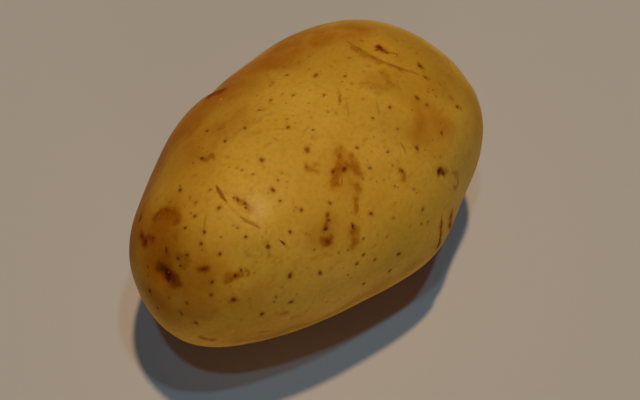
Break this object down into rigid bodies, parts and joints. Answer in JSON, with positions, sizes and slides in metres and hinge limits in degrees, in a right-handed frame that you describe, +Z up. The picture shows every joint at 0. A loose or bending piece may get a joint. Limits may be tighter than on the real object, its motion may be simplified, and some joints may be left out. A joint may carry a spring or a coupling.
{
  "type": "potato",
  "caption": "Whole raw potato: an oblong, slightly flattened tuber with thin yellow skin, shallow browed eyes and a runner scar at the narrower end.",
  "frame": {"origin": "on the surface that the potato lies on, under the middle of its bounding box", "axes": "+Z up; +X along the long axis, from the heel with the runner scar to the wider rose end; +Y to the left of that, across the width"},
  "size_m": [0.0998, 0.0676, 0.0543],
  "materials": {
    "skin": "satin"
  },
  "bodies": {
    "root": {"potato": "skin"}
  },
  "joints": []
}
